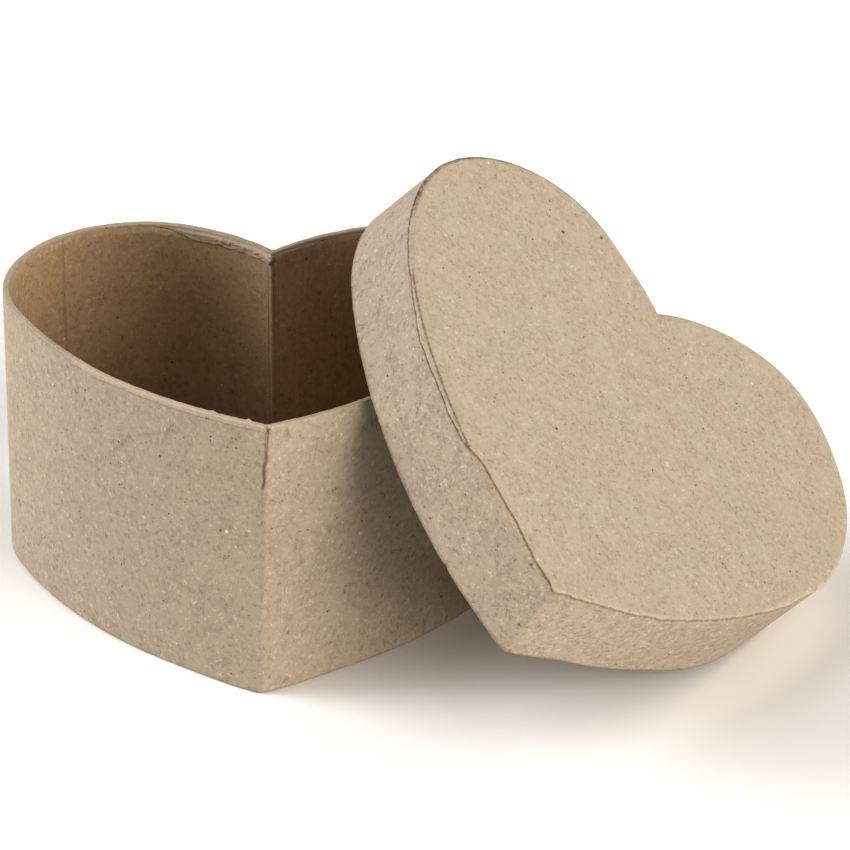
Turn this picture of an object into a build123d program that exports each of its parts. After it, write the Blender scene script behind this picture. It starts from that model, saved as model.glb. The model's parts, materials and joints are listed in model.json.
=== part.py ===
from build123d import *
import os
from math import sqrt

# A heart-shaped paper craft box with a separate lift-off lid. The box stands
# open and the lid leans on its right-hand side. Millimetres, +Z up. The origin
# is on the underside of the box, on its line of symmetry, midway between the
# centres of the two lobes. The tip of the heart points along -Y.

# ---- the heart outline, outside of the box --------------------------------
BOX_WIDTH = 125.0          # across both lobes
LOBE_RADIUS = 32.5
FLANK_RADIUS = 116.0       # the gentle bulge from the tip to a lobe
SHOULDER_RADIUS = 51.0     # from a lobe down into the cleft
TIP_REACH = 71.0           # from the line of the lobe centres to the tip
CLEFT_REACH = 18.4         # from the line of the lobe centres to the cleft

# ---- the layers -----------------------------------------------------------
PAPER = 0.3                # pasted kraft paper, and the gummed corner tape
WALL_BOARD = 1.2           # grey board of the walls
FLAT_BOARD = 1.5           # grey board of the floor and of the lid's panel
WALL = PAPER + WALL_BOARD + PAPER

# ---- the box --------------------------------------------------------------
BOX_HEIGHT = 68.4
TURN_IN = 6.0              # paper folded over a rim and down its inner face
TURN_UNDER = 8.0           # paper folded under the base
TAPE_REACH = 8.0           # how far a corner tape runs to each side

# ---- the lid --------------------------------------------------------------
LID_GAP = 2.4              # loose fit between the box and the inside of the lid
LID_GROW = LID_GAP + WALL  # the lid's outline stands this far outside the box's
LID_HEIGHT = 22.9
TURN_OVER = 3.0            # rim paper folded over the edge of the top

# ---- how the lid leans ----------------------------------------------------
LID_CENTRE_X = 85.7        # the midpoint of the lid's lobe centres, on its top
LID_CENTRE_Y = -32.7
LID_TURNS = (15.9, 41.9, -3.4)   # degrees about the fixed X, then Y, then Z


def crossing(centre_a, radius_a, centre_b, radius_b, side):
    """Where two circles cross; side says which of the two points is meant."""
    gap = centre_b - centre_a
    along = (gap.length**2 + radius_a**2 - radius_b**2) / (2 * gap.length)
    across = sqrt(radius_a**2 - along**2)
    unit = gap.normalized()
    return centre_a + unit * along + Vector(-unit.Y, unit.X) * (side * across)


LOBE = Vector(BOX_WIDTH / 2 - LOBE_RADIUS, 0)
FLANK = crossing(Vector(0, -TIP_REACH), FLANK_RADIUS, LOBE, FLANK_RADIUS - LOBE_RADIUS, 1)
SHOULDER = crossing(
    Vector(0, CLEFT_REACH), SHOULDER_RADIUS, LOBE, SHOULDER_RADIUS - LOBE_RADIUS, -1
)


def arc(centre, start, end):
    """The short way round the centre from start to end."""
    towards = (start - centre).normalized() + (end - centre).normalized()
    middle = centre + towards.normalized() * (start - centre).length
    return ThreePointArc(start, middle, end)


def half_outline(grow):
    """The right half of the heart, tip to cleft, moved outwards by grow."""
    tip = Vector(0, FLANK.Y - sqrt((FLANK_RADIUS + grow) ** 2 - FLANK.X**2))
    cleft = Vector(0, SHOULDER.Y + sqrt((SHOULDER_RADIUS + grow) ** 2 - SHOULDER.X**2))
    into_lobe = LOBE + (LOBE - FLANK).normalized() * (LOBE_RADIUS + grow)
    out_of_lobe = LOBE + (LOBE - SHOULDER).normalized() * (LOBE_RADIUS + grow)
    return [
        arc(FLANK, tip, into_lobe),
        arc(LOBE, into_lobe, out_of_lobe),
        arc(SHOULDER, out_of_lobe, cleft),
    ]


def heart(grow, low, high):
    """A solid heart from one height to another."""
    right = half_outline(grow)
    left = [edge.mirror(Plane.YZ) for edge in right]
    face = make_face(right + left)
    return Pos(0, 0, low) * extrude(face, high - low, dir=(0, 0, 1))


def ring(outer, inner, low, high):
    """A heart-shaped wall between two offsets of the outline."""
    return heart(outer, low, high) - heart(inner, low, high)


def right_half(whole):
    return split(whole, bisect_by=Plane.YZ, keep=Keep.TOP)


def left_half(whole):
    return split(whole, bisect_by=Plane.YZ, keep=Keep.BOTTOM)


def corner_block(towards_tip, low, high):
    """The space around a corner that its tape lies in."""
    depth = TIP_REACH + LID_GROW
    middle_y = -depth / 2 if towards_tip else depth / 2
    return Pos(0, middle_y, (low + high) / 2) * Box(2 * TAPE_REACH, depth, high - low)


def wall_lining(outer, low, high):
    """Tip tape, cleft tape and the two lining strips between them, one paper thick."""
    layer = ring(outer, outer - PAPER, low, high)
    tip_block = corner_block(True, low, high)
    cleft_block = corner_block(False, low, high)
    strips = layer - tip_block - cleft_block
    return layer & tip_block, layer & cleft_block, left_half(strips), right_half(strips)


def box_pieces():
    board_in = -PAPER - WALL_BOARD
    floor_top = PAPER + FLAT_BOARD
    walls = ring(-PAPER, board_in, PAPER, BOX_HEIGHT - PAPER)
    tip_tape, cleft_tape, lining_left, lining_right = wall_lining(
        board_in, floor_top, BOX_HEIGHT - TURN_IN
    )
    wrap = (
        ring(0, -PAPER, 0, BOX_HEIGHT)
        + ring(0, -WALL, BOX_HEIGHT - PAPER, BOX_HEIGHT)
        + ring(board_in, -WALL, BOX_HEIGHT - TURN_IN, BOX_HEIGHT)
        + ring(0, -TURN_UNDER, 0, PAPER)
    )
    return {
        "box_wall_left": left_half(walls),
        "box_wall_right": right_half(walls),
        "box_floor": heart(board_in, PAPER, floor_top),
        "box_tip_tape": tip_tape,
        "box_cleft_tape": cleft_tape,
        "box_lining_left": lining_left,
        "box_lining_right": lining_right,
        "box_floor_liner": heart(-WALL, floor_top, floor_top + PAPER),
        "box_wrap": wrap,
        "box_underside_paper": heart(-TURN_UNDER, 0, PAPER),
    }


def lid_pieces():
    """The lid lying level, with the outside of its top at height 0."""
    board_out = LID_GROW - PAPER
    board_in = board_out - WALL_BOARD
    inside = LID_GROW - WALL
    panel_under = -PAPER - FLAT_BOARD
    rims = ring(board_out, board_in, -LID_HEIGHT + PAPER, -PAPER)
    tip_tape, cleft_tape, lining_left, lining_right = wall_lining(
        board_in, -LID_HEIGHT + TURN_IN, panel_under
    )
    rim_wrap = (
        ring(LID_GROW, board_out, -LID_HEIGHT, 0)
        + ring(LID_GROW, inside, -LID_HEIGHT, -LID_HEIGHT + PAPER)
        + ring(board_in, inside, -LID_HEIGHT, -LID_HEIGHT + TURN_IN)
        + ring(LID_GROW, LID_GROW - TURN_OVER, -PAPER, 0)
    )
    return {
        "lid_rim_left": left_half(rims),
        "lid_rim_right": right_half(rims),
        "lid_panel": heart(board_in, panel_under, -PAPER),
        "lid_tip_tape": tip_tape,
        "lid_cleft_tape": cleft_tape,
        "lid_lining_left": lining_left,
        "lid_lining_right": lining_right,
        "lid_panel_liner": heart(inside, panel_under - PAPER, panel_under),
        "lid_rim_wrap": rim_wrap,
        "lid_top_paper": heart(LID_GROW - TURN_OVER, -PAPER, 0),
    }


def leaning(pieces):
    """Tilts the lid and sets its lowest rim on the surface that the box stands on."""
    lean = Location((LID_CENTRE_X, LID_CENTRE_Y, 0), LID_TURNS, Extrinsic.XYZ)
    tilted = {name: lean * piece for name, piece in pieces.items()}
    lowest = tilted["lid_rim_wrap"].bounding_box().min.Z
    return {name: Pos(0, 0, -lowest) * piece for name, piece in tilted.items()}


for node, piece in (box_pieces() | leaning(lid_pieces())).items():
    export_step(piece, f"parts/{node}.step")
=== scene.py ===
import json
from math import atan2, cos, pi, radians, sin, sqrt

import bmesh
import bpy
import numpy as np
from mathutils import Euler, Matrix, Vector, noise


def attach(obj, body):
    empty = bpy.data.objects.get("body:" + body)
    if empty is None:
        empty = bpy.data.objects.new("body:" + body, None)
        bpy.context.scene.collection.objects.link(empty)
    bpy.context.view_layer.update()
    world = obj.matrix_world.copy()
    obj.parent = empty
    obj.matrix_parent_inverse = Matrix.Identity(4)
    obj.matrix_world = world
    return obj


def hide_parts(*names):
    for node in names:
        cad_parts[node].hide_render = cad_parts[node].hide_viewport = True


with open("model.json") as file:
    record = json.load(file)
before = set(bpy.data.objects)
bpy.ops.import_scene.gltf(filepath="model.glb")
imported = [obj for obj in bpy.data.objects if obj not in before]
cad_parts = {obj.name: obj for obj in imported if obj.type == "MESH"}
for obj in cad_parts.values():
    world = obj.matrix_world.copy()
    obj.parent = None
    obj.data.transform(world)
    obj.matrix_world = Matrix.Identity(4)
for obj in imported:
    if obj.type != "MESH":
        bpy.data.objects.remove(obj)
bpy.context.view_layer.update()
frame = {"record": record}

# A heart-shaped paper craft box, open, with its lid leaning on its right side.
# Shapes are worked out in millimetres and written to the meshes in metres.
MM = 0.001

# ---- the heart outline and the layers, as the maker's drawing has them ------
BOX_WIDTH = 125.0
LOBE_RADIUS = 32.5
FLANK_RADIUS = 116.0
SHOULDER_RADIUS = 51.0
TIP_REACH = 71.0
CLEFT_REACH = 18.4
PAPER = 0.3
WALL_BOARD = 1.2
FLAT_BOARD = 1.5
WALL = PAPER + WALL_BOARD + PAPER
BOX_HEIGHT = 68.4
TURN_IN = 6.0
TURN_UNDER = 8.0
TAPE_REACH = 8.0
LID_GAP = 2.4
LID_GROW = LID_GAP + WALL
LID_HEIGHT = 22.9
TURN_OVER = 3.0
LID_TURNS = (15.9, 41.9, -3.4)

# ---- how finely an outline is divided ---------------------------------------
TIP_STEPS = 8
FLANK_STEPS = 190
LOBE_STEPS = 110
SHOULDER_STEPS = 90
CLEFT_STEPS = 5
CROWDING = 1.4          # steps grow this fast with distance from a corner

# ---- how far the corners are rounded ----------------------------------------
BOX_TIP_ROUND = 1.0
BOX_FOOT_ROUND = 1.5    # more than that at the foot of the box's tip
BOX_CLEFT_ROUND = 0.4
LID_TIP_ROUND = 1.4
LID_FOOT_ROUND = 2.4    # more than that at the lower end of the lid's tip
LID_CLEFT_ROUND = 0.8
CLEFT_SHARPENS = 0.3    # a cleft's radius shrinks by this share of the offset
SHARPEST_TIP = 0.15
SHARPEST_CLEFT = 0.2

lid_mount = next(m for m in frame["record"]["mounts"] if m["name"] == "lid_top")
LID_PLACE = Matrix.Translation(Vector(lid_mount["pos_m"]) / MM)
LID_PLACE = LID_PLACE @ Euler([radians(t) for t in LID_TURNS], "XYZ").to_matrix().to_4x4()


# ---- the heart --------------------------------------------------------------
def crossing(centre_a, radius_a, centre_b, radius_b, side):
    """Where two circles cross; side says which of the two points is meant."""
    gap = centre_b - centre_a
    length = np.hypot(*gap)
    along = (length**2 + radius_a**2 - radius_b**2) / (2 * length)
    across = sqrt(radius_a**2 - along**2)
    unit = gap / length
    return centre_a + unit * along + side * across * np.array([-unit[1], unit[0]])


LOBE = np.array([BOX_WIDTH / 2 - LOBE_RADIUS, 0.0])
FLANK = crossing(
    np.array([0.0, -TIP_REACH]), FLANK_RADIUS, LOBE, FLANK_RADIUS - LOBE_RADIUS, 1
)
SHOULDER = crossing(
    np.array([0.0, CLEFT_REACH]), SHOULDER_RADIUS, LOBE, SHOULDER_RADIUS - LOBE_RADIUS, -1
)


def heading(start, end):
    """The angle of the way from one point to another."""
    return atan2(end[1] - start[1], end[0] - start[0])


def arc(centre, radius, begin, end, shares, outward=1):
    """Points of an arc and their outward directions, at shares of the way round."""
    angles = begin + (end - begin) * shares
    ways = np.stack([np.cos(angles), np.sin(angles)], 1)
    return np.hstack([centre + radius * ways, outward * ways])


def even(steps):
    """Evenly spaced shares of the way along, from 0 up to the step before 1."""
    return np.arange(steps) / steps


def heart(grow, tip_round, cleft_round):
    """The outline moved outwards by grow, with rounded corners: x, y and outward x, y.

    It starts at the tip, runs up the right-hand side and comes back down the left.
    """
    flank, lobe, shoulder = FLANK_RADIUS + grow, LOBE_RADIUS + grow, SHOULDER_RADIUS + grow
    tip = np.array([0, FLANK[1] - sqrt((flank - tip_round) ** 2 - FLANK[0] ** 2)])
    cleft = np.array([0, SHOULDER[1] + sqrt((shoulder + cleft_round) ** 2 - SHOULDER[0] ** 2)])
    leave_tip = heading(FLANK, tip)
    into_lobe = heading(FLANK, LOBE)
    out_of_lobe = heading(SHOULDER, LOBE)
    reach_cleft = heading(SHOULDER, cleft)
    right = np.concatenate([
        arc(tip, tip_round, -pi / 2, leave_tip, even(TIP_STEPS)),
        arc(FLANK, flank, leave_tip, into_lobe, even(FLANK_STEPS) ** CROWDING),
        arc(LOBE, lobe, into_lobe, out_of_lobe, even(LOBE_STEPS)),
        arc(SHOULDER, shoulder, out_of_lobe, reach_cleft, 1 - (1 - even(SHOULDER_STEPS)) ** CROWDING),
        arc(cleft, cleft_round, heading(cleft, SHOULDER), -pi / 2, even(CLEFT_STEPS), -1),
        arc(cleft, cleft_round, -pi / 2, -pi / 2, np.zeros(1), -1),
    ])
    left = right[-2:0:-1] * (-1, 1, -1, 1)
    return np.concatenate([right, left])


HALF = TIP_STEPS + FLANK_STEPS + LOBE_STEPS + SHOULDER_STEPS + CLEFT_STEPS


def distance_round():
    """Millimetres from the tip along the outline, negative on the left-hand side."""
    loop = heart(0, BOX_TIP_ROUND, BOX_CLEFT_ROUND)[:, :2]
    steps = np.hypot(*np.diff(loop[: HALF + 1], axis=0).T)
    right = np.concatenate([[0], np.cumsum(steps)])
    return np.concatenate([right, -right[-2:0:-1]])


ROUND = distance_round()


# ---- soft unevenness --------------------------------------------------------
# Each use of the noise starts at a place of its own, so that no two are alike.
def drift(points, wavelength, start):
    """Smooth noise, about -1 to 1, at each point."""
    flat = points.reshape(-1, 3) / wavelength + (start, 0, 0)
    return np.array([noise.noise(p) for p in flat.tolist()]).reshape(points.shape[:-1])


def wander(wavelength, start):
    """Smooth noise, about -1 to 1, along the outline."""
    return np.array([noise.noise((s / wavelength, start, 0.5)) for s in ROUND])


def ease(value, low, high):
    """0 below low, 1 above high, smooth between them."""
    share = np.clip((value - low) / (high - low), 0, 1)
    return share * share * (3 - 2 * share)


def bump(value, at, wide):
    """1 at one place, fading out smoothly on both sides."""
    return np.exp(-(((value - at) / wide) ** 2))


def swell(*bumps):
    """Smooth bumps along the outline, each given as its middle, half width and height."""
    return sum(high * bump(ROUND, at, wide) for at, wide, high in bumps)


def stretch(value, low, high, soft):
    """1 between low and high, fading out over soft on each side."""
    return ease(value, low - soft, low) * (1 - ease(value, high, high + soft))


# ---- meshes -----------------------------------------------------------------
def make_piece(name, node, body, paper, rows, around=True, across=True, marks=None):
    """A closed mesh from rows of points. It stands for the CAD node of the same piece.

    around joins the ends of each row, and across joins the last row to the first.
    Where a direction isn't joined the mesh is closed with a fan or a flat end.
    """
    rows = np.array(rows)
    count, width = rows.shape[:2]
    faces = []
    for j in range(count if across else count - 1):
        for i in range(width if around else width - 1):
            a, b = j * width, (j + 1) % count * width
            faces.append((a + i, a + (i + 1) % width, b + (i + 1) % width, b + i))
    places = rows.reshape(-1, 3)
    if not across:
        for row in (0, count - 1):
            middle = len(places)
            places = np.vstack([places, rows[row].mean(0)])
            faces += [(row * width + i, row * width + (i + 1) % width, middle) for i in range(width)]
    if not around:
        for end in (0, width - 1):
            faces.append([j * width + end for j in range(count)])
    mesh = bpy.data.meshes.new(name)
    mesh.from_pydata((places * MM).tolist(), [], faces)
    for mark, values in (marks or {}).items():
        layer = mesh.attributes.new(mark, "FLOAT", "POINT")
        flat = np.zeros(len(places), np.float32)
        flat[: count * width] = np.array(values).reshape(-1)
        layer.data.foreach_set("value", flat)
    work = bmesh.new()
    work.from_mesh(mesh)
    bmesh.ops.recalc_face_normals(work, faces=work.faces)
    work.to_mesh(mesh)
    work.free()
    mesh.polygons.foreach_set("use_smooth", [True] * len(mesh.polygons))
    mesh.materials.append(paper)
    piece = bpy.data.objects.new(name, mesh)
    bpy.context.scene.collection.objects.link(piece)
    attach(piece, body)
    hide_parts(node)


def bend(grow, height, radius, begin, end, steps=5):
    """Points of a rounded edge in a wall's section: (grow, height) pairs."""
    angles = np.radians(np.linspace(begin, end, steps))
    return [(grow + radius * cos(a), height + radius * sin(a)) for a in angles]


# ---- the box's own unevenness -----------------------------------------------
TIP_SKEW_LOW = 0.4      # the tip corner stands this far to the right at the floor
TIP_SKEW_HIGH = 3.0     # and this far at the rim
TIP_SPREAD = 20.0       # the skew fades out over this distance
TIP_TOE = 2.0           # the foot of the tip pushes forwards
TOE_SPREAD = 11.0
WALL_DRIFT = 0.25       # how far the walls wander
BOX_DRIFT_LENGTH = 42.0
RIM_DRIFT = 0.2         # how far the rim wanders up and down
RIM_DRIFT_LENGTH = 26.0
RIM_RISE = swell((-135, 35, 0.35))      # the rim stands a little high at the back left


def settle_box(points):
    """How the hand-pasted box differs from a true heart."""
    x, y, z = points[..., 0], points[..., 1], points[..., 2]
    share = np.clip(z / BOX_HEIGHT, 0, 1)
    from_tip = x**2 + (y + TIP_REACH) ** 2
    near_tip = np.exp(-from_tip / (2 * TIP_SPREAD**2))
    moved = points.copy()
    moved[..., 0] += (TIP_SKEW_LOW + (TIP_SKEW_HIGH - TIP_SKEW_LOW) * share) * near_tip
    moved[..., 1] -= TIP_TOE * (1 - share) ** 3 * np.exp(-from_tip / (2 * TOE_SPREAD**2))
    moved[..., 0] += WALL_DRIFT * drift(points, BOX_DRIFT_LENGTH, 3.0)
    moved[..., 1] += WALL_DRIFT * drift(points, BOX_DRIFT_LENGTH, 11.0)
    moved[..., 2] += RIM_DRIFT * share * drift(points * (1, 1, 0), RIM_DRIFT_LENGTH, 23.0)
    return moved


def box_row(grow, height, out=0.0, up=0.0):
    """One level line of the box at an offset of the outline.

    out and up move its points by amounts that may differ along the line.
    """
    share = np.clip(height / BOX_HEIGHT, 0, 1)
    tip_round = max(BOX_TIP_ROUND + BOX_FOOT_ROUND * (1 - share) ** 3 + grow, SHARPEST_TIP)
    cleft_round = max(BOX_CLEFT_ROUND - CLEFT_SHARPENS * grow, SHARPEST_CLEFT)
    loop = heart(grow, tip_round, cleft_round)
    place = loop[:, :2] + loop[:, 2:] * np.reshape(out, (-1, 1))
    return np.column_stack([place, np.zeros(len(loop)) + height + up + RIM_RISE * share**4])


# ---- the lid's own unevenness -----------------------------------------------
# how far the outline stands out, over the whole height, at the top and at the lower rim
LID_WANDER = swell((-166, 12, -1.1), (-112, 14, 0.7), (99, 12, -0.6), (141, 12, 1.2))
TOP_WANDER = swell((-66, 18, 1.0))
RIM_FLARE = swell((9, 7, 0.9), (26, 16, 0.7), (59, 17, 1.9))
TIP_SLIP = (3.6, -1.1)                  # the tip's lower end is pushed round to the right
SLIP_SPREAD = 6.0
LID_DRIFT_LENGTH = 40.0
TOP_SAG = 0.25                          # how far the top wanders up and down
TOP_SAG_LENGTH = 28.0


def settle_lid(points):
    """Unevenness of the hand-pasted lid, then how it leans."""
    x, y, z = points[..., 0], points[..., 1], points[..., 2]
    share = np.clip(-z / LID_HEIGHT, 0, 1)
    near_tip = np.exp(-(x**2 + (y + TIP_REACH + LID_GROW) ** 2) / (2 * SLIP_SPREAD**2))
    moved = points.copy()
    for axis, start in ((0, 31.0), (1, 37.0)):
        moved[..., axis] += TIP_SLIP[axis] * share * near_tip
        moved[..., axis] += WALL_DRIFT * drift(points, LID_DRIFT_LENGTH, start)
    moved[..., 2] += TOP_SAG * (1 - share) * drift(points, TOP_SAG_LENGTH, 41.0)
    flat = moved.reshape(-1, 3)
    turn = np.array(LID_PLACE.to_3x3())
    return (flat @ turn.T + np.array(LID_PLACE.translation)).reshape(points.shape)


def lid_row(grow, height, out=0.0, up=0.0):
    """One level line of the lid, before it leans; its top is at height 0."""
    share = np.clip(-(height + up) / LID_HEIGHT, 0, 1)
    tip_round = LID_TIP_ROUND + LID_FOOT_ROUND * np.mean(share) ** 1.5 + grow - LID_GROW
    cleft_round = LID_CLEFT_ROUND - CLEFT_SHARPENS * (grow - LID_GROW)
    loop = heart(grow, max(tip_round, SHARPEST_TIP), max(cleft_round, SHARPEST_CLEFT))
    uneven = LID_WANDER + TOP_WANDER * (1 - share) + RIM_FLARE * share
    place = loop[:, :2] + loop[:, 2:] * np.reshape(out + uneven, (-1, 1))
    return np.column_stack([place, np.zeros(len(loop)) + height + up])


# ---- materials --------------------------------------------------------------
def linear(hex_colour):
    """sRGB hex to linear red, green, blue and alpha."""
    parts = [int(hex_colour[i : i + 2], 16) / 255 for i in (1, 3, 5)]
    return [p / 12.92 if p <= 0.04045 else ((p + 0.055) / 1.055) ** 2.4 for p in parts] + [1.0]


def put(tree, kind, inputs=None, out=0, **settings):
    """Adds one node with its settings, sets or links its inputs, and gives one output."""
    made = tree.nodes.new("ShaderNode" + kind)
    for name, value in settings.items():
        setattr(made, name, value)
    for socket, value in (inputs or {}).items():
        if isinstance(value, bpy.types.NodeSocket):
            tree.links.new(value, made.inputs[socket])
        else:
            made.inputs[socket].default_value = value
    return made.outputs[out]


def per_mm(size):
    """A texture's scale for a feature of this size in millimetres."""
    return 1 / (size * MM)


PULP_SHADE = "#ECEBE8"         # the pulp's darker clouds are tinted with it
TORN_AND_HIGHLIGHT_COLOUR = "#DDCCB8"        # torn and folded edges, and the painted highlights on the box's rim and crumpled strip
DIRT_AND_SHADE_COLOUR = "#644628"        # glue and dirt on seams and torn edges, and painted shade in creases, crumples and at the feet
# where in the tufts' noise a fibre shows, from faint to full; its colour and strength
FIBRES = ((0.55, 0.6, "#7B6A55", 0.55), (0.44, 0.39, "#E8DDCB", 0.45))
# spacing and largest size in millimetres, share of cells used, colour and strength
FLECKS = (
    (2.0, 0.32, 0.5, "#4A3829", 0.85),
    (1.2, 0.16, 0.4, "#57442F", 0.8),
    (3.0, 0.25, 0.7, "#F6EEE2", 0.85),
    (1.7, 0.15, 0.4, "#EFE5D6", 0.7),
    (5.0, 0.3, 0.6, "#8E5F3A", 0.7),
    (7.0, 0.8, 0.5, "#7E6B55", 0.4),
    (9.0, 0.7, 0.8, "#453426", 0.85),
    (13.0, 0.6, 0.7, "#FFFAF0", 0.85),
)


def recycled_paper(name, pink, green, grain, busy, seed):
    """Recycled kraft paper, pasted on wet and left to dry matt.

    It gives a warm beige with clouds that are a trace pinker or greener, fine curled
    fibres, dark flecks of bark and ink, a few pale flecks, and paler torn edges; marks on the mesh
    also give painted highlights, dirt and painted shade.
    grain is how far the fibres are drawn out along the height of a wall, and busy
    is how strongly they show.
    """
    paper = bpy.data.materials.new(name)
    paper.use_nodes = True
    tree = paper.node_tree
    tree.nodes.clear()

    flat = put(tree, "TexCoord", out="Object")
    place = put(tree, "Mapping", {0: flat, "Location": (seed * 0.37, seed * 0.11, 0)})
    drawn = put(tree, "Mapping", {0: place, "Scale": (1, 1, 1 / grain)})

    # pulp: soft clouds of colour, then light and dark of two sizes, stronger in patches
    broad = put(tree, "TexNoise", {"Vector": place, "Scale": per_mm(12), "Detail": 3.0})
    hue = put(tree, "MapRange", {0: broad, 1: 0.35, 2: 0.65})
    body = put(tree, "Mix", {0: hue, 6: linear(green), 7: linear(pink)}, 2, data_type="RGBA")
    soft = put(tree, "TexNoise", {"Vector": drawn, "Scale": per_mm(2.4), "Detail": 3.0})
    fine = put(tree, "TexNoise", {"Vector": drawn, "Scale": per_mm(0.8), "Detail": 1.0})
    tone = put(tree, "Mix", {"Factor": 0.65, "A": soft, "B": fine})
    patch = put(tree, "TexNoise", {"Vector": place, "Scale": per_mm(6.0), "Detail": 2.0})
    rough = put(tree, "MapRange", {0: patch, 1: 0.4, 2: 0.6, 3: 0.35 * busy, 4: busy})
    dark = put(tree, "MapRange", {0: tone, 1: 0.62, 2: 0.38})
    amount = put(tree, "Math", {0: dark, 1: rough}, operation="MULTIPLY")
    body = put(tree, "Mix", {0: amount, 6: body, 7: linear(PULP_SHADE)}, 2,
               data_type="RGBA", blend_type="MULTIPLY")

    # curled fibres: thin level lines of a twisted noise, kept only in patches
    twisted = put(tree, "TexNoise", {"Vector": drawn, "Scale": per_mm(1.7), "Detail": 1.0,
                                     "Distortion": 1.8})
    level = put(tree, "Math", {0: twisted, 1: 0.5}, operation="SUBTRACT")
    apart = put(tree, "Math", {0: level}, operation="ABSOLUTE")
    line = put(tree, "MapRange", {0: apart, 1: 0.01, 2: 0.035, 3: 1.0, 4: 0.0})
    tuft = put(tree, "TexNoise", {"Vector": place, "Scale": per_mm(1.5), "Detail": 1.0})
    for low, high, colour, strength in FIBRES:
        kept = put(tree, "MapRange", {0: tuft, 1: low, 2: high, 3: 0.0, 4: strength * busy})
        amount = put(tree, "Math", {0: line, 1: kept}, operation="MULTIPLY")
        body = put(tree, "Mix", {0: amount, 6: body, 7: linear(colour)}, 2, data_type="RGBA")

    # flecks: the cells of a scattered pattern, each with a size of its own
    ragged = put(tree, "TexNoise", {"Vector": place, "Scale": per_mm(0.4)}, "Color")
    shift = put(tree, "VectorMath", {0: ragged, "Scale": 0.5 * MM}, operation="SCALE")
    jittered = put(tree, "VectorMath", {0: place, 1: shift}, operation="ADD")
    for spacing, biggest, share, colour, strength in FLECKS:
        away = put(tree, "TexVoronoi", {"Vector": jittered, "Scale": per_mm(spacing)})
        lot = put(tree, "SeparateColor", {0: away.node.outputs["Color"]})
        reach = put(tree, "MapRange", {0: lot, 1: 1 - share, 2: 1.0, 3: 0.0, 4: biggest / spacing})
        core = put(tree, "Math", {0: reach, 1: 0.5}, operation="MULTIPLY")
        kept = put(tree, "MapRange", {0: away, 1: core, 2: reach, 3: strength, 4: 0.0})
        used = put(tree, "Math", {0: reach, 1: 0.02 / spacing}, operation="GREATER_THAN")
        thinned = put(tree, "Math", {0: used, 1: 0.3 + 0.7 * min(1.0, busy)}, operation="MULTIPLY")
        amount = put(tree, "Math", {0: kept, 1: thinned}, operation="MULTIPLY")
        body = put(tree, "Mix", {0: amount, 6: body, 7: linear(colour)}, 2, data_type="RGBA")

    # paler torn and folded edges and painted highlights; glue and dirt on seams and torn edges, and
    # painted shade in creases, crumples and feet
    frayed_and_highlit = put(tree, "Attribute", out="Fac", attribute_name="frayed_and_highlit")
    amount = put(tree, "Math", {0: frayed_and_highlit, 1: 0.6}, operation="MULTIPLY")
    body = put(tree, "Mix", {0: amount, 6: body, 7: linear(TORN_AND_HIGHLIGHT_COLOUR)}, 2, data_type="RGBA")
    soiled_and_shaded = put(tree, "Attribute", out="Fac", attribute_name="soiled_and_shaded")
    speckle = put(tree, "TexNoise", {"Vector": place, "Scale": per_mm(0.7), "Detail": 2.0})
    broken = put(tree, "MapRange", {0: speckle, 1: 0.38, 2: 0.56, 3: 0.45, 4: 1.0})
    amount = put(tree, "Math", {0: soiled_and_shaded, 1: broken}, operation="MULTIPLY")
    body = put(tree, "Mix", {0: amount, 6: body, 7: linear(DIRT_AND_SHADE_COLOUR)}, 2, data_type="RGBA")

    # the sheet's tooth, raised fibres and a slow cockle, in millimetres
    cockle = put(tree, "TexNoise", {"Vector": place, "Scale": per_mm(4.0), "Detail": 2.0})
    height = put(tree, "Math", {0: cockle, 1: 0.12}, operation="MULTIPLY")
    height = put(tree, "Math", {0: fine, 1: 0.03, 2: height}, operation="MULTIPLY_ADD")
    height = put(tree, "Math", {0: line, 1: 0.008, 2: height}, operation="MULTIPLY_ADD")
    relief = put(tree, "Bump", {"Strength": 1.0, "Distance": MM, "Height": height})
    sheen = put(tree, "MapRange", {0: tone, 1: 0.3, 2: 0.7, 3: 0.86, 4: 0.97})
    shader = put(tree, "BsdfPrincipled", {"Base Color": body, "Roughness": sheen, "IOR": 1.45,
                                          "Normal": relief, "Specular IOR Level": 0.3})
    tree.links.new(shader, tree.nodes.new("ShaderNodeOutputMaterial").inputs[0])
    return paper


# wrap: laid round the wall with its fibres upright, greyish beige
wall_paper = recycled_paper("recycled_kraft_wrap", "#B6AA9B", "#B5AA9A", 1.4, 0.9, 1)
# top sheet: the palest and calmest, its fibres lying all ways
top_paper = recycled_paper("recycled_kraft_top_sheet", "#BEB2A5", "#BCB3A4", 1.0, 0.85, 2)
# rim strip: the most mottled and flecked
rim_paper = recycled_paper("recycled_kraft_rim_strip", "#BAAD9F", "#B9AE9E", 1.0, 1.1, 3)
# lining and corner tape: a browner kraft
lining_paper = recycled_paper("brown_kraft_lining", "#C0A98F", "#BEA98C", 1.3, 0.9, 4)
tape_paper = recycled_paper("gummed_kraft_tape", "#C0A98F", "#BEA98C", 1.3, 0.9, 5)


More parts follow.
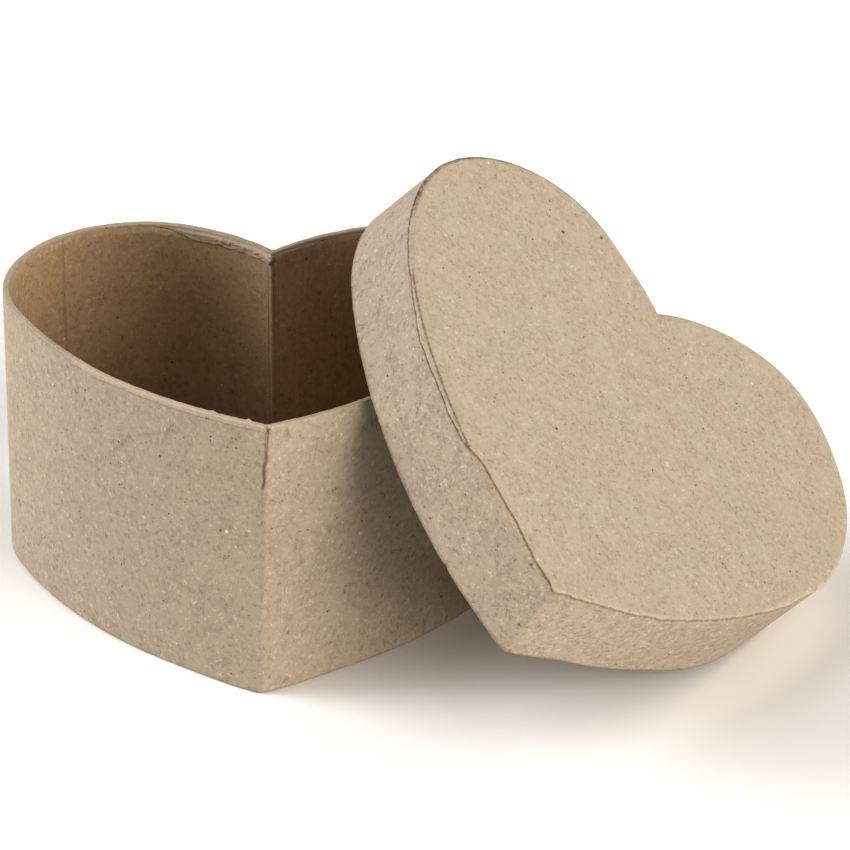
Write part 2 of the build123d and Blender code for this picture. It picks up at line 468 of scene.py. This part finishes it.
def grey_board():
    """Solid grey board, pressed from mixed waste paper: dull, hard and speckled."""
    board = bpy.data.materials.new("pressed_grey_board")
    board.use_nodes = True
    tree = board.node_tree
    tree.nodes.clear()
    place = put(tree, "TexCoord", out="Object")
    pulp = put(tree, "TexNoise", {"Vector": place, "Scale": per_mm(0.8), "Detail": 4.0})
    colour = put(tree, "Mix", {0: pulp, 6: linear("#7F766A"), 7: linear("#A79C8C")}, 2,
                 data_type="RGBA")
    relief = put(tree, "Bump", {"Strength": 0.4, "Distance": 0.1 * MM, "Height": pulp})
    shader = put(tree, "BsdfPrincipled", {"Base Color": colour, "Normal": relief,
                                          "Roughness": 0.95, "Specular IOR Level": 0.3})
    tree.links.new(shader, tree.nodes.new("ShaderNodeOutputMaterial").inputs[0])
    return board


board_grey = grey_board()


# ---- flat hearts and strips of wall -----------------------------------------
SPOKE_CENTRE = np.array([0.0, -12.0])   # every point of the outline is in sight of it
SPOKE_SHARES = np.linspace(0.05, 0.95, 10)


def drawn_in(edge, share):
    """A level line drawn in towards the middle of the heart."""
    inner = edge.copy()
    inner[:, :2] = SPOKE_CENTRE + (edge[:, :2] - SPOKE_CENTRE) * share
    return inner


def plate_rows(row, grow, low, high):
    """A flat heart as rows: out over the underside, in over the top."""
    edge_low, edge_high = row(grow, low), row(grow, high)
    under = [drawn_in(edge_low, share) for share in SPOKE_SHARES]
    over = [drawn_in(edge_high, share) for share in SPOKE_SHARES[::-1]]
    return np.array(under + [edge_low, edge_high] + over)


def strip_rows(row, outer, inner, low, high, part, steps=12, drop=0.0, out=0.0):
    """An upright strip of wall between two offsets, for a part of the outline.

    drop lowers its top edge, and out moves its inner face.
    """
    shares = np.linspace(0, 1, steps)
    heights = low + (high - low) * shares
    back = [row(outer, h, up=-drop * share) for h, share in zip(heights, shares)]
    front = [row(inner, h, out, -drop * share) for h, share in zip(heights, shares)]
    return np.array(back + front[::-1])[:, part]


def part_of_outline(low, high):
    """Indexes of the outline's points between two distances from the tip, in order."""
    inside = np.where((ROUND >= low) & (ROUND <= high))[0]
    return inside[np.argsort(ROUND[inside], kind="stable")]


HALF_ROUND = ROUND.max()
LAP = 7.0             # the lining strips reach this far over the corner tapes
RIGHT = np.arange(0, HALF + 1)
LEFT = np.concatenate([[0], np.arange(len(ROUND) - 1, HALF - 1, -1)])
TIP_PART = part_of_outline(-TAPE_REACH, TAPE_REACH)
CLEFT_START = np.searchsorted(ROUND[: HALF + 1], HALF_ROUND - TAPE_REACH)
CLEFT_PART = np.arange(CLEFT_START, len(ROUND) - CLEFT_START + 1)
RIGHT_LINING = part_of_outline(TAPE_REACH - LAP, HALF_ROUND - TAPE_REACH + LAP)
LEFT_LINING = part_of_outline(-HALF_ROUND + TAPE_REACH - LAP, -TAPE_REACH + LAP)


# ---- the box ----------------------------------------------------------------
# Near the cleft the wrap was crumpled as it was folded in, and it lies over the lining.
# Everywhere else the lining was pasted over it, almost up to the rim.
CRUMPLED = stretch(ROUND, -190, -163, 16) + 0.7 * stretch(ROUND, 174, 190, 9)
LINING_DROP = 0.25 * wander(5.0, 51.0) + 0.12 * wander(1.4, 53.0) + 0.6 * CRUMPLED
LAPPED_SEAM = -126.0
SHORT_SEAM = -146.0
SHORT_SEAM_FOOT = 60.0
SEAM_WIDTH = 0.28       # of the line of dirt along a seam
SEAM_LAP = 0.07         # the lining between the seams stands out this far
LINING_TOP = BOX_HEIGHT - 0.75
TAPE_SUNK = 0.04        # the corner tapes lie this far behind the lining's face
WRAP_SUNK = 0.16        # and the wrap's turned-in edge this far


def box_boards():
    """The two bent wall strips and the floor, in grey board."""
    inner = -PAPER - WALL_BOARD
    for side, part in (("left", LEFT), ("right", RIGHT)):
        rows = strip_rows(box_row, -PAPER, inner, PAPER, BOX_HEIGHT - 2 * PAPER, part)
        make_piece(f"box_{side}_board", f"box_wall_{side}", "box", board_grey,
                   settle_box(rows), around=False)
    rows = plate_rows(box_row, inner, PAPER, PAPER + FLAT_BOARD)
    make_piece("box_floor_board", "box_floor", "box", board_grey,
               settle_box(rows), across=False)


def seam_marks(count, part, low, high):
    """Dirt along the two upright seams of a lining strip, for its back and front rows."""
    heights = low + (high - low) * np.linspace(0, 1, count // 2)
    long_seam = bump(ROUND, LAPPED_SEAM, SEAM_WIDTH)
    short_seam = bump(ROUND, SHORT_SEAM, SEAM_WIDTH)
    front = [0.3 * long_seam + 0.35 * short_seam * ease(h, SHORT_SEAM_FOOT, 64) for h in heights]
    return np.array([np.zeros(len(ROUND))] * len(heights) + front[::-1])[:, part]


def box_linings():
    """The papers pasted inside the box and under its base."""
    floor_top = PAPER + FLAT_BOARD
    outer = -PAPER - WALL_BOARD
    lap = -SEAM_LAP * stretch(ROUND, SHORT_SEAM, LAPPED_SEAM, 0.5)
    for side, part in (("left", LEFT_LINING), ("right", RIGHT_LINING)):
        rows = strip_rows(box_row, outer, -WALL, floor_top, LINING_TOP, part, 36, LINING_DROP, lap)
        make_piece(f"box_{side}_lining_strip", f"box_lining_{side}", "box",
                   lining_paper, settle_box(rows), around=False,
                   marks={"soiled_and_shaded": seam_marks(len(rows), part, floor_top, LINING_TOP)})
    for corner, part in (("tip", TIP_PART), ("cleft", CLEFT_PART)):
        inner = -WALL + TAPE_SUNK
        rows = strip_rows(box_row, outer, inner, floor_top, LINING_TOP, part, 20, LINING_DROP)
        make_piece(f"box_{corner}_corner_tape", f"box_{corner}_tape", "box",
                   tape_paper, settle_box(rows), around=False)
    rows = plate_rows(box_row, -WALL, floor_top, floor_top + PAPER)
    make_piece("box_floor_paper", "box_floor_liner", "box", lining_paper,
               settle_box(rows), across=False)
    rows = plate_rows(box_row, -TURN_UNDER, 0, PAPER)
    make_piece("box_base_paper", "box_underside_paper", "box", wall_paper,
               settle_box(rows), across=False)


# Faint creases in the wrap: from one place to another, each as the distance from the
# tip along the outline and the height. The first two run on into one another.
CREASES = (
    (-43, 48, -35, 56),
    (-35, 56, -22, 62),
    (-24, 63, -27, 56),
    (-14, 58, -6, 65),
    (-104, 55, -95, 60),
    (24, 60, 33, 64),
)
CREASE_WIDTH = 0.45
CREASE_LIFT = 0.15


def creases_at(height):
    """How high the faint creases stand along one level line."""
    lift = np.zeros(len(ROUND))
    for start_s, start_z, end_s, end_z in CREASES:
        run = np.array([end_s - start_s, end_z - start_z], float)
        place = np.stack([ROUND - start_s, np.full(len(ROUND), height - start_z)], 1)
        share = np.clip(place @ run / (run @ run), 0, 1)
        away = np.hypot(*(place - share[:, None] * run).T)
        lift += CREASE_LIFT * bump(away, 0, CREASE_WIDTH) * np.sin(pi * share) ** 0.5
    return lift


WRAP_EDGE = 0.4         # rounding of the wrap over the rim
WRAP_FOOT = 0.8         # rounding of the wrap at the foot of the wall
TURN_IN_START = BOX_HEIGHT - WRAP_EDGE - 0.1
TURN_IN_STEPS = 24


def wrap_section():
    """The wrap's section: under the base, up the wall, over the rim, in, and back behind.

    It gives pairs of offset and height, then the numbers of the pairs at which the
    rounding over the rim, the turned-in edge and the hidden back start.
    """
    inner = -WALL + WRAP_SUNK
    board = -PAPER - WALL_BOARD
    section = [(-TURN_UNDER, 0.0)]
    section += bend(-WRAP_FOOT, WRAP_FOOT, WRAP_FOOT, -90, 0)
    section += [(0.0, h) for h in np.arange(WRAP_FOOT + 0.6, BOX_HEIGHT - 21, 1.5)]
    section += [(0.0, h) for h in np.arange(BOX_HEIGHT - 20, BOX_HEIGHT - 4.2, 0.5)]
    section += [(0.0, h) for h in np.arange(BOX_HEIGHT - 4, BOX_HEIGHT - WRAP_EDGE, 0.22)]
    wall_top = len(section)
    section += bend(-WRAP_EDGE, BOX_HEIGHT - WRAP_EDGE, WRAP_EDGE, 0, 90)
    section += bend(inner + WRAP_EDGE, BOX_HEIGHT - WRAP_EDGE, WRAP_EDGE, 90, 180)
    turned_in = len(section)
    section += [(inner, TURN_IN_START)] * TURN_IN_STEPS
    back = len(section)
    section += [(inner - 0.01, BOX_HEIGHT - TURN_IN), (board, BOX_HEIGHT - 1.0)]
    section += [(board, BOX_HEIGHT - PAPER)]
    section += [(-PAPER, h) for h in np.linspace(BOX_HEIGHT - PAPER, PAPER, 24)]
    section += [(-TURN_UNDER, PAPER)]
    return section, wall_top, turned_in, back


def box_cover():
    """The outer wrap, with its folded band, creases, pleats and crumpled edge."""
    section, wall_top, turned_in, back = wrap_section()
    folded_band = stretch(ROUND, -50, -3, 8)
    fold_depth = 1.35 + 0.4 * wander(6.0, 2.0) + 0.25 * wander(1.3, 7.0)
    trimmed_edge = stretch(ROUND, -140, -60, 10)
    pleats = swell((-1.0, 0.4, 1.0), (0.9, 0.4, 0.8))
    curl = swell((-5.0, 0.5, 0.5), (-14.0, 0.5, 0.35))
    visible_fold = 0.7 + 2.0 * ease(CRUMPLED, 0.35, 1.0)
    visible_fold += 0.5 * wander(3.0, 4.0) + 0.3 * wander(0.9, 9.0)
    short = ease(CRUMPLED, 0.0, 0.25)
    reach_in = TURN_IN * (1 - short) + visible_fold * short
    rim_rough = 0.1 * wander(3.5, 61.0) + 0.06 * wander(1.0, 63.0)
    rows, frayed_and_highlit, soiled_and_shaded = [], [], []
    for number, (grow, height) in enumerate(section):
        below = BOX_HEIGHT - height
        out = np.zeros(len(ROUND))
        up = np.zeros(len(ROUND))
        pale = np.zeros(len(ROUND))
        dirt_and_shade = np.zeros(len(ROUND))
        if number < turned_in:
            band = folded_band * (1 - ease(below, fold_depth - 0.12, fold_depth + 0.12))
            crease_at = 0.1 - 0.06 * min(below, 16) + 0.25 * noise.noise((height / 3.0, 5.5, 0))
            crease = bump(ROUND, crease_at, 0.4) * stretch(below, 1.0, 15, 1.5)
            folds = creases_at(height)
            out += 0.12 * band + folds
            # painted shade along the faint creases
            dirt_and_shade += 1.5 * folds
            out += 0.3 * pleats * (1 - ease(below, 0.6, 3.0)) - 0.35 * crease
            up += rim_rough * ease(height, BOX_HEIGHT - 3, BOX_HEIGHT - 0.5)
            pale += 0.35 * band
            # painted shade in the dent of the crease at the tip
            dirt_and_shade += 0.9 * crease
            dirt_and_shade += 0.22 * folded_band * stretch(below, fold_depth + 0.1, fold_depth + 0.25, 0.15)
            # painted shade at the foot of the wall, where it meets the table
            dirt_and_shade += 0.3 * (1 - ease(height, 0.1, 0.7))
            # over the rim the paper curls up, and it is paler there: a painted highlight along the
            # rim's top
            if number > wall_top:
                up += curl
                pale += 0.3
            if wall_top - 1 <= number <= wall_top + 1:
                dirt_and_shade += 0.25 * trimmed_edge
        elif number <= back:
            share = min(1.0, (number - turned_in) / (back - turned_in - 1))
            depth = share * (reach_in - WRAP_EDGE - 0.1)
            up = rim_rough * (1 - share) - depth
            crumple = 0.3 * wander(2.2, 71.0 + 1.7 * share) + 0.2 * wander(0.9, 75.0 + 4 * share)
            out = -CRUMPLED * ease(depth, 0.0, 0.8) * (0.36 + np.abs(crumple))
            # the crumpled strip is made paler and browner, a painted highlight on the lit crumples,
            # and the edge just inside the rim carries on the rim's painted highlight
            pale = 0.7 * CRUMPLED + 0.5 * (1 - ease(depth, 0.0, 0.3))
            # painted shade in the crumples, as dark streaks where they stand out most
            dirt_and_shade = CRUMPLED * np.maximum(0, 1.5 * crumple - 0.1)
        if number == back:
            up = up + TURN_IN_START - height
        rows.append(box_row(grow, height, out, up))
        frayed_and_highlit.append(pale)
        soiled_and_shaded.append(dirt_and_shade)
    make_piece("box_outer_wrap", "box_wrap", "box", wall_paper,
               settle_box(np.array(rows)), marks={"frayed_and_highlit": frayed_and_highlit, "soiled_and_shaded": soiled_and_shaded})


# ---- the lid ----------------------------------------------------------------
LID_EDGE = 1.2        # rounding of the top edge
TOP_SHEET = 0.22      # the top sheet lies on the rim strip's turned-over edge
SHEET_START = -4.0    # where the sheet is still flat, measured over the top edge
# Where the top sheet was torn off: distance from the tip along the outline, and how
# far over the top edge the sheet reaches there. Below 0 it stops short on the top.
TORN_EDGE = (
    (-183, 0.3), (-130, 0.3), (-90, 0.5), (-75, 1.0), (-68, 1.4), (-61, 2.2), (-54, 1.5),
    (-42, 1.3), (-36, 0.3), (-30, -1.2), (-18, -1.7), (-8, -0.5), (0, 0.0), (45, -0.3),
    (110, 0.5), (183, 0.3),
)
SHEET_REACH = np.interp(ROUND, *zip(*TORN_EDGE))
SHEET_REACH += 0.35 * wander(5.0, 21.0) + 0.2 * wander(1.3, 27.0)
TORN_DIRT = 0.3 + 0.7 * stretch(ROUND, -145, -40, 8) + 0.35 * stretch(ROUND, -34, -2, 3)
TORN_DIRT += 0.25 * stretch(ROUND, 2, 70, 6)
BARK_CHIP = (-7.0, 1.1)        # a dark chip in the rim strip: along and down from the edge
RUBBED_EDGE = stretch(ROUND, -152, -98, 8)     # worn brown and speckled by hands
LID_LINING_FOOT = 1.2          # the lining starts this far above the rim's lower end


def lid_section(path):
    """Over the top edge: offset, height and the way out of the surface.

    path is the distance down from the edge's middle, and is negative on the top.
    """
    arc_half = LID_EDGE * pi / 4
    top, side = -TOP_SHEET, LID_GROW
    if path < -arc_half:
        return side - LID_EDGE + path + arc_half, top, 0.0, 1.0
    if path > arc_half:
        return side, top - LID_EDGE - (path - arc_half), 1.0, 0.0
    angle = pi / 4 - path / LID_EDGE
    grow = side - LID_EDGE + LID_EDGE * cos(angle)
    return grow, top - LID_EDGE + LID_EDGE * sin(angle), cos(angle), sin(angle)


def lid_boards():
    """The two bent rim strips and the top panel, in grey board."""
    outer = LID_GROW - PAPER
    inner = outer - WALL_BOARD
    for side, part in (("left", LEFT), ("right", RIGHT)):
        rows = strip_rows(lid_row, outer, inner, -LID_HEIGHT + PAPER, -PAPER - LID_EDGE / 2, part)
        make_piece(f"lid_{side}_board", f"lid_rim_{side}", "lid", board_grey,
                   settle_lid(rows), around=False)
    rows = plate_rows(lid_row, inner, -PAPER - FLAT_BOARD, -PAPER - 0.1)
    make_piece("lid_panel_board", "lid_panel", "lid", board_grey,
               settle_lid(rows), across=False)


def lid_linings():
    """The papers pasted inside the lid."""
    outer = LID_GROW - PAPER - WALL_BOARD
    inner = LID_GROW - WALL
    low, high = -LID_HEIGHT + LID_LINING_FOOT, -PAPER - FLAT_BOARD
    for side, part in (("left", LEFT_LINING), ("right", RIGHT_LINING)):
        rows = strip_rows(lid_row, outer, inner, low, high, part, 16)
        make_piece(f"lid_{side}_lining_strip", f"lid_lining_{side}", "lid",
                   lining_paper, settle_lid(rows), around=False)
    for corner, part in (("tip", TIP_PART), ("cleft", CLEFT_PART)):
        rows = strip_rows(lid_row, outer, inner + TAPE_SUNK, low, high, part, 16)
        make_piece(f"lid_{corner}_corner_tape", f"lid_{corner}_tape", "lid",
                   tape_paper, settle_lid(rows), around=False)
    rows = plate_rows(lid_row, inner, high - PAPER, high)
    make_piece("lid_inner_paper", "lid_panel_liner", "lid", lining_paper,
               settle_lid(rows), across=False)


def lid_rim_strip():
    """The rim's cover: over the top edge, down the rim, and up inside."""
    edge = 0.4
    paths = [-TURN_OVER, -2.2, -1.6] + list(np.arange(-1.2, 4.6, 0.2))
    section = [lid_section(path)[:2] for path in paths]
    section += [(LID_GROW, h) for h in np.arange(-5.6, -LID_HEIGHT + 1.0, -0.6)]
    rim_foot = len(section)
    section += bend(LID_GROW - edge, -LID_HEIGHT + edge, edge, 0, -90)
    inner = LID_GROW - WALL
    section += bend(inner + edge, -LID_HEIGHT + edge, edge, -90, -180)
    turned_in = len(section)
    for depth in np.linspace(edge + 0.2, TURN_IN, 16):
        section.append((inner - 0.2 * ease(depth, 0.6, 1.6), -LID_HEIGHT + depth))
    back = len(section)
    board = LID_GROW - PAPER
    section += [(inner - 0.02, -LID_HEIGHT + TURN_IN), (inner + PAPER, -LID_HEIGHT + 1.0)]
    section += [(inner + PAPER, -LID_HEIGHT + PAPER)]
    section += [(board, h) for h in np.linspace(-LID_HEIGHT + PAPER, -TOP_SHEET - LID_EDGE, 12)]
    section += [(board - 0.6, -TOP_SHEET - 0.4)]
    section += [(LID_GROW - TURN_OVER, -TOP_SHEET - 0.1)]
    nick = swell((-16.5, 0.5, 0.6), (31.0, 0.8, 0.3))
    foot_rough = 0.12 * wander(4.0, 81.0) + 0.06 * wander(1.1, 83.0) + nick
    rows, soiled_and_shaded = [], []
    for number, (grow, height) in enumerate(section):
        up = foot_rough * (1 - ease(height, -LID_HEIGHT + 0.5, -LID_HEIGHT + 2.5))
        dirt_and_shade = np.zeros(len(ROUND))
        if number < len(paths):
            dirt_and_shade = TORN_DIRT * bump(paths[number] - SHEET_REACH - 0.15, 0, 0.35)
            dirt_and_shade += bump(ROUND, BARK_CHIP[0], 0.5) * bump(paths[number], BARK_CHIP[1], 0.45)
        elif rim_foot <= number <= rim_foot + 4:
            # the rim's lower edge is darker: painted shade where it turns down to the table
            dirt_and_shade = dirt_and_shade + 0.4
        if turned_in <= number <= back:
            share = min(1, (number - turned_in) / (back - turned_in))
            up = share * (1.3 * wander(6.0, 14.0) + 0.6 * wander(1.6, 19.0))
        rows.append(lid_row(grow, height, up=up))
        soiled_and_shaded.append(dirt_and_shade)
    make_piece("lid_rim_cover", "lid_rim_wrap", "lid", rim_paper,
               settle_lid(np.array(rows)), marks={"soiled_and_shaded": soiled_and_shaded})


def lid_top_sheet():
    """The heart of paper pasted over the top, with its torn edge at the corner."""
    creased = stretch(ROUND, -76, -36, 4)

    def sheet_row(share, lift):
        """A line of the sheet, from the flat (share 0) to the torn edge (share 1)."""
        middle_path = SHEET_START * (1 - share)
        middle = lid_section(middle_path)[0]
        paths = SHEET_START + (SHEET_REACH - SHEET_START) * share
        ways = np.array([lid_section(path) for path in paths])
        lifted = lift * (1 - 0.6 * creased * bump(paths, 0.2, 0.3))
        return lid_row(middle, 0.0, ways[:, 0] - middle + ways[:, 2] * lifted,
                       ways[:, 1] + ways[:, 3] * lifted)

    shares = np.linspace(0, 1, 61)
    over = [sheet_row(share, TOP_SHEET) for share in shares[:-1]]
    over += [sheet_row(1.0, TOP_SHEET * 0.8), sheet_row(1.0, 0.02)]
    under = [sheet_row(share, 0.01) for share in shares[::-6]]
    rows = [drawn_in(over[0], share) for share in SPOKE_SHARES] + over + under
    rows += [drawn_in(under[-1], share) for share in SPOKE_SHARES[::-1]]
    frayed_and_highlit = np.zeros((len(rows), len(ROUND)))
    soiled_and_shaded = np.zeros((len(rows), len(ROUND)))
    for number, share in enumerate(list(shares) + [1.0]):
        paths = SHEET_START + (SHEET_REACH - SHEET_START) * share
        near_edge = SHEET_REACH - paths
        row = len(SPOKE_SHARES) + number
        frayed_and_highlit[row] = 0.3 * stretch(near_edge, -1, 0.3, 0.2)
        soiled_and_shaded[row] = TORN_DIRT * 0.6 * (1 - ease(near_edge, 0.05, 0.4))
        grubby = 0.55 + 0.5 * wander(0.8, 91.0 + 4 * share)
        soiled_and_shaded[row] += 1.1 * grubby * RUBBED_EDGE * (1 - ease(near_edge, 0.5, 1.2))
        # painted shade in the sheet's crease
        soiled_and_shaded[row] += 0.7 * creased * bump(paths, 0.2, 0.22)
    make_piece("lid_top_cover", "lid_top_paper", "lid", top_paper,
               settle_lid(np.array(rows)), across=False,
               marks={"frayed_and_highlit": frayed_and_highlit, "soiled_and_shaded": soiled_and_shaded})


box_boards()
box_linings()
box_cover()
lid_boards()
lid_linings()
lid_rim_strip()
lid_top_sheet()


# ---- the studio -------------------------------------------------------------
FLOOR_HALF = 6.0         # metres
PRINT_GAMMA = 0.714      # a contrasty tone curve, as in a printed catalogue
SOFTBOX_SPREAD = 45.0
COOL_WHITE = (0.995, 1.0, 1.02)
WARM_WHITE = (1.04, 1.0, 0.93)
CAMERA_TURN = 1.33       # degrees round from the front to the right
CAMERA_RISE = 28.19      # degrees above the table
CAMERA_AWAY = 1364.3
CAMERA_TARGET = (36.55, 0, 31.43)
LONG_LENS = 243.3
SENSOR_WIDTH = 36.0


def studio_floor():
    """A table top of matt white laminate, with a trace of light of its own."""
    mesh = bpy.data.meshes.new("studio_floor")
    corners = [(x * FLOOR_HALF, y * FLOOR_HALF, 0) for x, y in ((-1, -1), (1, -1), (1, 1), (-1, 1))]
    mesh.from_pydata(corners, [], [(0, 1, 2, 3)])
    surface = bpy.data.materials.new("white_table_laminate")
    surface.use_nodes = True
    shader = surface.node_tree.nodes["Principled BSDF"]
    shader.inputs["Base Color"].default_value = linear("#F7F7F8")
    shader.inputs["Roughness"].default_value = 0.9
    shader.inputs["Emission Color"].default_value = linear("#FFFFFF")
    shader.inputs["Emission Strength"].default_value = 0.06
    mesh.materials.append(surface)
    floor = bpy.data.objects.new("studio_floor", mesh)
    bpy.context.scene.collection.objects.link(floor)


def way_towards(azimuth, elevation):
    """A direction of length 1, in degrees; azimuth 0 is the front and 90 the right."""
    turn, rise = radians(azimuth), radians(elevation)
    return Vector((sin(turn) * cos(rise), -cos(turn) * cos(rise), sin(rise)))


def aim(thing, place, target):
    """Puts a light or the camera somewhere and turns it to look at a target."""
    thing.location = place
    thing.rotation_euler = (target - place).to_track_quat("-Z", "Y").to_euler()
    bpy.context.scene.collection.objects.link(thing)


def softbox(name, azimuth, elevation, strength, colour):
    """A large soft light, far off."""
    lamp = bpy.data.lights.new(name, "SUN")
    lamp.angle = radians(SOFTBOX_SPREAD)
    lamp.energy = strength
    lamp.color = colour
    aim(bpy.data.objects.new(name, lamp), way_towards(azimuth, elevation), Vector())


def camera():
    """A long lens from the front, looking down at the table."""
    lens = bpy.data.cameras.new("view")
    lens.lens = LONG_LENS
    lens.sensor_width = SENSOR_WIDTH
    lens.clip_start = 0.05
    lens.clip_end = 20.0
    view = bpy.data.objects.new("view", lens)
    target = Vector(CAMERA_TARGET) * MM
    aim(view, target + way_towards(CAMERA_TURN, CAMERA_RISE) * CAMERA_AWAY * MM, target)
    bpy.context.scene.camera = view


studio_floor()
softbox("left_low_softbox", -102, 18, 2.78, COOL_WHITE)
softbox("left_high_softbox", -90, 45, 1.1, COOL_WHITE)
softbox("right_low_softbox", 50, 15, 2.8, WARM_WHITE)
softbox("front_high_softbox", 35, 35, 0.6, WARM_WHITE)
softbox("back_right_softbox", 110, 45, 0.75, WARM_WHITE)
world = bpy.data.worlds.new("white_tent")
world.use_nodes = True
world.node_tree.nodes["Background"].inputs["Color"].default_value = linear("#FFE7CD")
world.node_tree.nodes["Background"].inputs["Strength"].default_value = 0.1
bpy.context.scene.world = world
bpy.context.scene.view_settings.view_transform = "Standard"
bpy.context.scene.view_settings.gamma = PRINT_GAMMA
camera()
